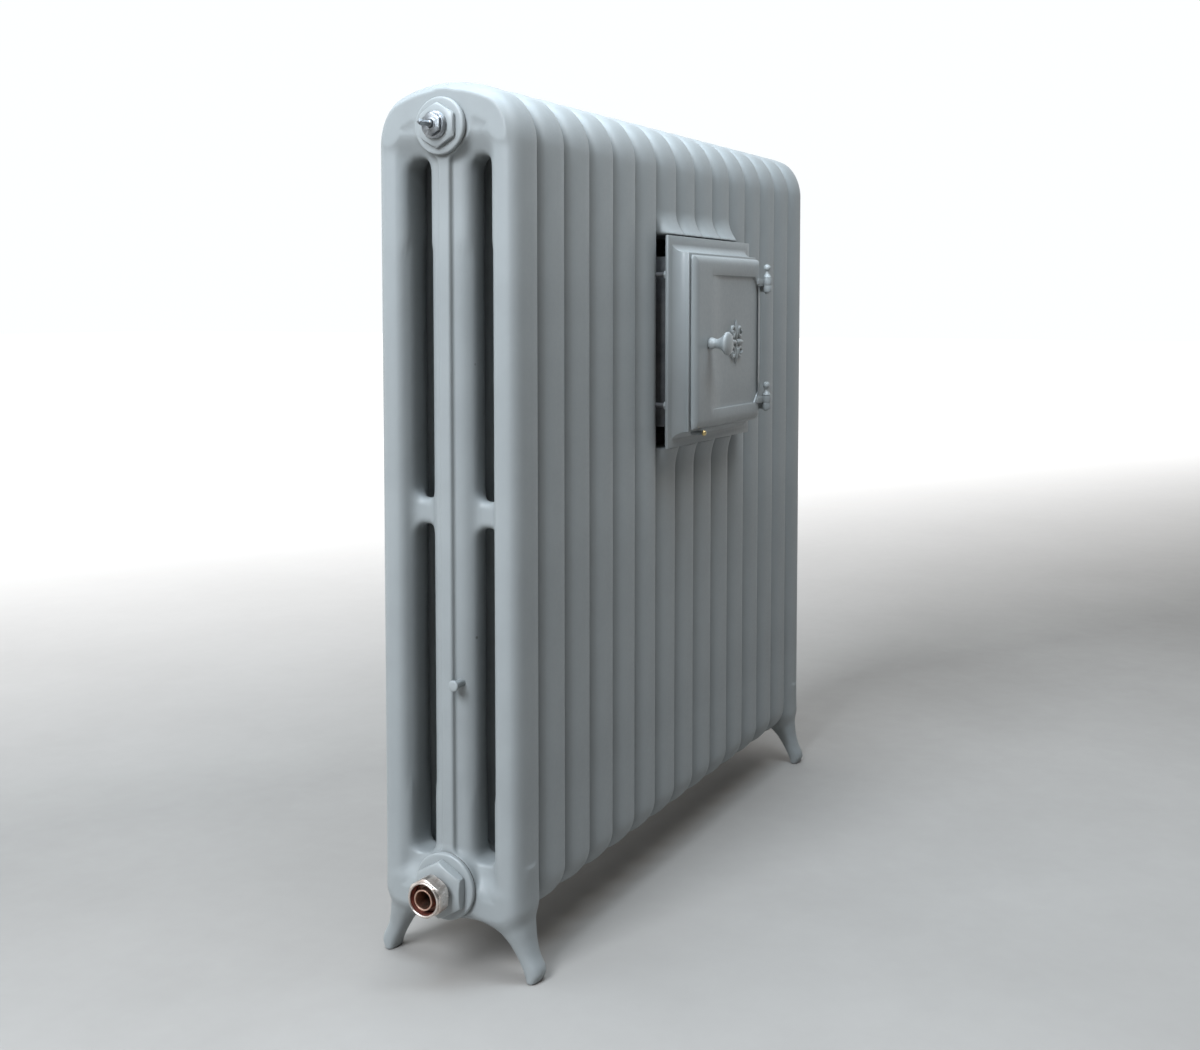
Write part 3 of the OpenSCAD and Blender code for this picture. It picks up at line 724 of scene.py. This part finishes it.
def make_far_plugs():
    """Blank plugs in both hubs of the far end."""
    end = SECTIONS * PITCH
    rings = [
        (-THREAD_IN, 0), (-THREAD_IN, THREAD_R), (GASKET, THREAD_R), (GASKET, 30.1),
        (GASKET + 0.6, 30.5), (6, 30.5), (7.2, 29.4), (7.5, 28), (7.5, 21), *nut_rings(7.51, 17.5, 42),
        (17.5, 13), (16.4, 11), (16.4, 0),
    ]
    for level, height in (("upper", HIGH_HUB), ("lower", LOW_HUB)):
        plug = shape(f"far_{level}_form", [turned(rings)], 0.4)
        add_piece(f"far_{level}_blank_plug", plug, "radiator", [f"far_{level}_plug"],
                  fitting_paint, (end, MIDDLE_Y, height))


def make_boss_plug():
    """The small screwed plug low on the near end's middle column."""
    rings = [
        (12, 0), (12, 4.4), (-5, 4.5), (-5, 5.5), (-5.6, 5.9), (-7.9, 5.9), (-8.7, 5.1), (-9, 3.6),
        (-9, 0),
    ]
    plug = shape("boss_plug_form", [turned(rings)], 0.2)
    add_piece("end_boss_plug", plug, "radiator", ["boss_plug"], fitting_paint,
              BOSS_AT)


# ---------------------------------------------------------------- warming cupboard

FLANGE = (342, 617, 554, 821)
RIM = (361, 592, 574, 800)
MOUTH = (374, 579, 587, 787)
SOCKET = (365, 588, 578, 796)
LINER = (366, 587, 579, 795)
FLANGE_Y, RIM_Y, SOCKET_Y = -STANDOFF - 4, -37.7, -34.0
COVE_W, COVE_D = 12, 17
HINGE_X, HINGE_Y, HINGE_R, PIN_R, KNUCKLE = 601.5, -51.0, 6.5, 3.4, 9.5
HINGE_HEIGHTS = {"upper": 752.0, "lower": 588.0}
STUD_XS, STUD_ZS, STUD_NUT_BACK = (348, 611), (608, 772), -10.9
REST_STUD_AT, BRASS_FROM = (397, 0, 570.5), -42.5


def knuckle(low):
    """A bored barrel round the hinge axis."""
    high = low + KNUCKLE
    rings = [(low, PIN_R + 0.15), (low, HINGE_R), (high, HINGE_R), (high, PIN_R + 0.15)]
    return turned(rings, 2, (HINGE_X, HINGE_Y, 0))


def make_casing():
    """The cupboard's cast frame, with its cove moulding and two hinge barrels."""
    loops = [frame_loop(*FLANGE, -STANDOFF), frame_loop(*FLANGE, FLANGE_Y)]
    for t in np.radians(np.arange(0, 91, 7.5)):
        grow, out = COVE_W * (1 - math.sin(t)), COVE_D * (1 - math.cos(t))
        loops.append(frame_loop(*RIM, FLANGE_Y - out, grow))
    loops += [frame_loop(*RIM, RIM_Y), frame_loop(*MOUTH, RIM_Y), frame_loop(*MOUTH, SOCKET_Y)]
    loops += [frame_loop(*SOCKET, SOCKET_Y), frame_loop(*SOCKET, -STANDOFF)]
    parts = [skinned(loops, ring=True)]
    for low in HINGE_HEIGHTS.values():
        parts.append(knuckle(low))
        parts.append(brick((HINGE_X - 3.6, HINGE_Y + 4.6, low + 0.6),
                           (HINGE_X + 3.6, FLANGE_Y + 0.4, low + KNUCKLE - 0.6)))
    casing = shape("casing_form", parts, 0.7)
    add_piece("cupboard_casing", casing, "radiator", ["casing_frame"], casing_paint)


def make_liner():
    """The sheet-iron box behind the casing."""
    back, sheet = 134, 2
    loops = [
        frame_loop(*LINER, back, -6), frame_loop(*LINER, back, -1.5), frame_loop(*LINER, back - 2),
        frame_loop(*LINER, SOCKET_Y), frame_loop(*LINER, SOCKET_Y, -sheet),
        frame_loop(*LINER, back - sheet - 2, -sheet), frame_loop(*LINER, back - sheet, -sheet - 2),
        frame_loop(*LINER, back - sheet, -16), frame_loop(*LINER, back - sheet - 1.2, -22),
    ]
    liner = shape("liner_form", [skinned(loops, caps=True)], 0.5)
    add_piece("oven_box", liner, "radiator", ["oven_liner"], sheet_iron)


def make_casing_studs():
    """The four studs behind the flange, and the brass stud under the door."""
    rings = [
        (5.8, 0), (5.8, 3), (-11, 3), *nut_rings(-11.01, -13.9, 9.4), (-13.9, 3), (-16.2, 3), (-16.2, 0),
    ]
    parts = []
    for x in STUD_XS:
        for z in STUD_ZS:
            parts.append(turned(rings, 1, (x, 0, z)))
    studs = shape("casing_stud_form", parts, 0.25)
    # Painted shade: the shafts behind the nuts, which cross the dark gap to the columns, take the
    # near-black sheet-iron colour so that only the nuts show.
    studs.materials.append(fitting_paint)
    studs.materials.append(sheet_iron)
    for face in studs.polygons:
        face.material_index = int(face.center.y > STUD_NUT_BACK * MM)
    add_piece("casing_studs", studs, "radiator", ["casing_screws"], fitting_paint)
    head = ball(-43.2, 3.75, 0, -85, 8)
    rings = [(-26.3, 0), (-26.3, 2.95), (-42.4, 2.95), (-42.6, 3.7), *head, (-46.95, 0)]
    stud = shape("brass_stud_form", [turned(rings, 1, REST_STUD_AT)], 0.15)
    stud.materials.append(brass)
    stud.materials.append(casing_paint)
    for face in stud.polygons:
        face.material_index = int(face.center.y > BRASS_FROM * MM)
    add_piece("door_brass_stud", stud, "radiator", ["door_rest_stud"], brass)


def make_hinge_pins():
    """Both hinge pins, each with a cone and a ball on top."""
    for level, low in HINGE_HEIGHTS.items():
        top = low + 2 * KNUCKLE + 0.6
        foot = [(low - 2, 0), (low - 2, 2.8), (low - 1.4, PIN_R), (top, PIN_R), (top, 5.7)]
        cone = flowing([(top + 0.5, 6), (top + 2.2, 5.6), (top + 5, 3.6), (top + 8, 2.5), (top + 9.6, 2.4)])
        rings = foot + cone + ball(top + 14.2, 5, -60, 88, 14) + [(top + 19.2, 0)]
        pin = shape(f"hinge_{level}_form", [turned(rings, 2, (HINGE_X, HINGE_Y, 0))], 0.25)
        add_piece(f"hinge_{level}_finial", pin, "radiator", [f"hinge_pin_{level}"],
                  fitting_paint)


DOOR = (364, 589, 577, 797)
PANEL, PANEL_CUT = (378, 584, 600, 772), 17
SINK_FROM, SINK_TO = 408, 456
DOOR_BACK, DOOR_FRONT = -38.0, -47.0
KNOB_X, KNOB_Z, ORNAMENT_X = 406.0, 685.0, 500.0
PANEL_DEEP, DOOR_EDGE_W, DOOR_EDGE_D = 2.4, 11.0, 6.5


def straight_sides(low_x, high_x, low_z, high_z, corner=0.0):
    """An outline as (normal_x, normal_z, offset) sides, with the right corners cut across."""
    sides = [(-1, 0, -low_x), (1, 0, high_x), (0, -1, -low_z), (0, 1, high_z)]
    if corner:
        cut = math.sqrt(0.5)
        sides.append((cut, cut, (high_x + high_z - corner) * cut))
        sides.append((cut, -cut, (high_x - low_z - corner) * cut))
    return sides


def make_door():
    """The door, built in loops round the knob axis: bore, sunk panel, rounded edge, back and barrels."""
    turns = np.radians(np.arange(0, 360, 1.0))

    def outline(sides, grow=0.0):
        """Distance from the knob axis to the outline, by angle."""
        out = np.full(turns.shape, np.inf)
        for nx, nz, offset in sides:
            facing = np.maximum(nx * np.cos(turns) + nz * np.sin(turns), 1e-6)
            out = np.minimum(out, (offset + grow - nx * KNOB_X - nz * KNOB_Z) / facing)
        return out

    def loop(radius, y=None):
        """A loop round the knob axis; without a depth it lies on the panel's sloping floor."""
        x, z = KNOB_X + radius * np.cos(turns), KNOB_Z + radius * np.sin(turns)
        floor = DOOR_FRONT + PANEL_DEEP * smooth_step(SINK_FROM, SINK_TO, x)
        return np.stack([x, floor if y is None else y + 0 * x, z], 1)

    edge = straight_sides(*DOOR)
    panel = straight_sides(*PANEL, PANEL_CUT)
    bore = 4.3 + 0 * turns
    loops = [loop(bore)]
    for share in (0.08, 0.2, 0.35, 0.5, 0.65, 0.8, 0.92, 1.0):
        loops.append(loop(bore + share * (outline(panel) - bore)))
    loops.append(loop(outline(panel, 0.7), DOOR_FRONT))
    for t in np.radians(np.arange(0, 91, 15)):
        back_by, in_by = DOOR_EDGE_D * (1 - math.cos(t)), DOOR_EDGE_W * (1 - math.sin(t))
        loops.append(loop(outline(edge, -in_by), DOOR_FRONT + back_by))
    loops += [loop(outline(edge), DOOR_BACK - 1.9), loop(outline(edge, -3), DOOR_BACK - 1.9)]
    loops += [loop(outline(edge, -3), DOOR_BACK), loop(outline(edge, -7), DOOR_BACK)]
    loops += [loop(outline(edge, -8), DOOR_BACK - 0.8), loop(outline(edge, -11), DOOR_BACK - 0.8)]
    loops += [loop(bore + 4, DOOR_BACK - 0.8), loop(bore, DOOR_BACK - 0.8)]
    parts = [skinned(loops, ring=True)]
    for low in HINGE_HEIGHTS.values():
        foot = low + KNUCKLE + 0.3
        parts.append(knuckle(foot))
        parts.append(brick((DOOR[1] - 15, HINGE_Y + 2.4, foot + 0.6),
                           (HINGE_X - 4.4, HINGE_Y + 7.4, foot + KNUCKLE - 0.6)))
    door = shape("door_form", parts, 0.4, 32)
    add_piece("cupboard_door", door, "door", ["door"], casing_paint)


def scroll(x, z, size, start, turns, flip, count=44):
    """A curl that winds in to a small ball: its path and thickness."""
    t = np.linspace(0, 1, count)
    angle = math.radians(start) + flip * turns * 2 * math.pi * t
    radius = size * (1 - 0.74 * t**0.8)
    path = np.stack([x + radius * np.cos(angle), 0 * t, z + radius * np.sin(angle)], 1)
    thick = 2.6 * np.sin(np.clip(t * 6 + 0.25, 0, math.pi / 2)) + 1.3 * smooth_step(0.86, 0.97, t)
    return path, thick


def make_ornament():
    """Paired curls and buds beside the knob, cast onto the door."""
    level = DOOR_FRONT + PANEL_DEEP - 0.6
    parts = []
    for up in (-1, 1):
        for side, size in ((-1, 11.0), (1, 9.5)):
            path, thick = scroll(ORNAMENT_X + side * 12.5, KNOB_Z + up * 15, size,
                                 90 - 90 * side, 1.1, -side * up)
            path[:, 1] = level
            parts.append(bent_rod(path, thick))
        stem = np.array([(ORNAMENT_X, level, KNOB_Z + up * z) for z in np.linspace(2, 30, 14)])
        parts.append(bent_rod(stem, 1.0 + 2.4 * np.sin(np.linspace(0.3, math.pi, 14))))
    for side in (-1, 1):
        leaf = np.array([(ORNAMENT_X + side * x, level, KNOB_Z) for x in np.linspace(1, 26, 14)])
        parts.append(bent_rod(leaf, 0.8 + 3.0 * np.sin(np.linspace(0.6, math.pi, 14))))
    scrolls = shape("scroll_form", parts, 0)
    add_piece("door_scrolls", scrolls, "door", ["door_ornament"], fitting_paint)


def make_knob():
    """The trumpet-shaped knob, turned about the latch axis."""
    outline = [
        (0, 6.6), (1.2, 7.4), (3.2, 7.8), (5.4, 7.2), (8, 6.2), (11, 6.1), (14.5, 7.2), (18, 9.4),
        (21, 12.2), (23.2, 14.4), (24.4, 15), (25.8, 14.9), (27.4, 13.2), (28.4, 9.5), (28.9, 4.5),
    ]
    rings = [(0, 0)] + flowing(outline, 4) + [(29, 0)]
    rings = [(DOOR_FRONT - 0.3 - out, radius) for out, radius in rings]
    knob = shape("knob_form", [turned(rings, 1)], 0.15)
    add_piece("trumpet_knob", knob, "latch", ["knob"], fitting_paint,
              (KNOB_X, 0, KNOB_Z))


dress_kept_parts()
make_sections()
make_vent()
make_inlet()
make_far_plugs()
make_boss_plug()
make_casing()
make_liner()
make_casing_studs()
make_hinge_pins()
make_door()
make_ornament()
make_knob()

# ---------------------------------------------------------------- floor, light and camera

LENS, SHIFT, CAMERA_AT = 42.72, -0.11, (-1277.8, -759.5, 732.3)
TILT, HEADING = math.radians(86.52), math.radians(-62.67)

# Level direction in which the backdrop is white
BACKDROP = (0.5, 0.86)


def camera():
    """The camera at the photograph's viewing angle."""
    data = bpy.data.cameras.new("camera")
    data.sensor_width = 36
    data.lens = LENS
    data.shift_y = SHIFT
    cam = bpy.data.objects.new("camera", data)
    bpy.context.scene.collection.objects.link(cam)
    cam.location = Vector(place(CAMERA_AT))
    cam.rotation_euler = (TILT, 0, HEADING)
    bpy.context.scene.camera = cam


def area_light(name, at, target, size, power, colour):
    """A rectangular light that faces a target."""
    data = bpy.data.lights.new(name, "AREA")
    data.shape = "RECTANGLE"
    data.size, data.size_y = size
    data.energy = power
    data.color = colour
    light = bpy.data.objects.new(name, data)
    bpy.context.scene.collection.objects.link(light)
    light.location = at
    light.rotation_euler = (Vector(target) - Vector(at)).to_track_quat("-Z", "Y").to_euler()


def studio_world():
    """White in the backdrop's direction, and dark on the opposite side."""
    world = bpy.data.worlds.new("studio")
    bpy.context.scene.world = world
    world.use_nodes = True
    nodes, links = world.node_tree.nodes, world.node_tree.links
    where = nodes.new("ShaderNodeTexCoord")
    towards = nodes.new("ShaderNodeVectorMath")
    towards.operation = "DOT_PRODUCT"
    towards.inputs[1].default_value = (*BACKDROP, 0.1)
    links.new(where.outputs["Generated"], towards.inputs[0])
    level = spread(nodes, links, towards.outputs["Value"], 0.08, 1.03, -0.4, 0.5)
    links.new(level, nodes["Background"].inputs["Strength"])
    nodes["Background"].inputs["Color"].default_value = (0.96, 0.985, 1.0, 1)


def floor_material():
    """Pale matt floor that brightens into the white backdrop a few metres out."""
    material = dull("pale_floor", (0.30, 0.284, 0.268), (0.33, 0.313, 0.296), 2.0, 0.9)
    nodes, links = material.node_tree.nodes, material.node_tree.links
    where = nodes.new("ShaderNodeTexCoord")
    away = nodes.new("ShaderNodeVectorMath")
    away.operation = "DOT_PRODUCT"
    away.inputs[1].default_value = (*BACKDROP, 0)
    links.new(where.outputs["Object"], away.inputs[0])
    glow = spread(nodes, links, away.outputs["Value"], 0.0, 0.95, 0.5, 3.2)
    shader = nodes["Principled BSDF"]
    shader.inputs["Emission Color"].default_value = (1, 1, 1, 1)
    links.new(glow, shader.inputs["Emission Strength"])
    return material


def studio():
    """The floor, the backdrop and three soft lights."""
    bpy.ops.mesh.primitive_plane_add(size=60)
    floor = bpy.context.object
    floor.name = "floor"
    floor.data.materials.append(floor_material())
    studio_world()
    area_light("overhead", (-0.35, -0.2, 2.0), (-0.1, -0.02, 0.9), (1.9, 0.7), 37, (0.72, 0.87, 1.0))
    area_light("brow", (-0.25, -0.75, 1.6), (0.0, -0.1, 0.95), (1.2, 0.25), 3, (1.0, 0.84, 0.68))
    area_light("end", (-3.2, 0.2, 2.6), (-0.45, 0, 0.65), (1.3, 1.7), 165, (0.86, 0.93, 1.0))


bpy.context.scene.view_settings.view_transform = "Standard"
camera()
studio()
